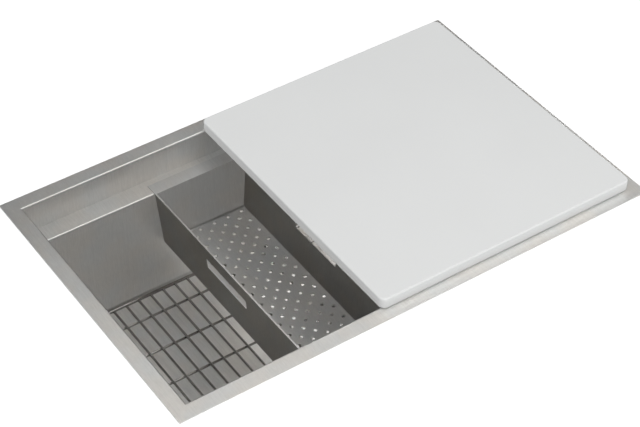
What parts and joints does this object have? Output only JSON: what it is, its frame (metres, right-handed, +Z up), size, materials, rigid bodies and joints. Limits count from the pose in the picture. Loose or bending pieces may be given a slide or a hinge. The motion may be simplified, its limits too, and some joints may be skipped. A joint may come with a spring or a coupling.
{
  "type": "kitchen sink",
  "caption": "Drop-in workstation kitchen sink: folded steel bowl with inner ledges, a sliding colander bin, a board on the rim, a wire floor grid, a basket strainer and a tail pipe.",
  "frame": {"origin": "centre of the rim, in the plane where the rim rests on the worktop", "axes": "+X to the right along the rim's long side, +Y to the back, +Z up"},
  "size_m": [0.8128, 0.5206, 0.442],
  "materials": {
    "bowl_steel": "brushed front to back",
    "bin_steel": "fine brushed",
    "wire_steel": "polished wire",
    "drain_steel": "satin",
    "zinc": "zinc plated",
    "screw_steel": "satin",
    "chrome": "bright",
    "pad_rubber": "matt",
    "seal_rubber": "matt",
    "foot_rubber": "matt",
    "fibre": "matt",
    "board_plastic": "fine texture"
  },
  "bodies": {
    "sink": {"basin": "bowl_steel", "clamp_studs": "zinc", "clamp_brackets": "zinc", "clamp_washers": "zinc", "clamp_nuts": "zinc", "sound_pads_long": "pad_rubber", "sound_pads_short": "pad_rubber", "sound_pads_floor": "pad_rubber", "drain_top_seal": "seal_rubber", "drain_body": "drain_steel", "drain_gasket": "seal_rubber", "drain_fibre_ring": "fibre", "drain_lock_nut": "zinc", "tail_washer": "seal_rubber", "tailpiece": "chrome", "tail_nut": "chrome"},
    "basket": {"basket_cup": "drain_steel", "basket_spindle": "drain_steel", "basket_stopper": "seal_rubber", "basket_knob": "drain_steel"},
    "grid": {"grid_frame": "wire_steel", "grid_rods": "wire_steel", "grid_cross_wires": "wire_steel", "grid_drain_ring": "wire_steel", "grid_legs": "wire_steel", "grid_feet": "foot_rubber", "grid_bumpers": "foot_rubber"},
    "colander": {"colander_bin": "bin_steel"},
    "board": {"cutting_board": "board_plastic", "board_guides": "board_plastic", "board_guide_screws": "screw_steel"}
  },
  "joints": [
    {"name": "board_slide", "type": "slide", "parent": "sink", "child": "board", "axis": [1, 0, 0], "range_m": [-0.3238, 0]},
    {"name": "colander_slide", "type": "slide", "parent": "sink", "child": "colander", "axis": [1, 0, 0], "range_m": [-0.2023, 0.3918]},
    {"name": "grid_lift", "type": "slide", "parent": "sink", "child": "grid", "axis": [0, 0, 1], "range_m": [0, 0.07]},
    {"name": "basket_lift", "type": "slide", "parent": "sink", "child": "basket", "axis": [0, 0, 1], "range_m": [0, 0.09]}
  ]
}
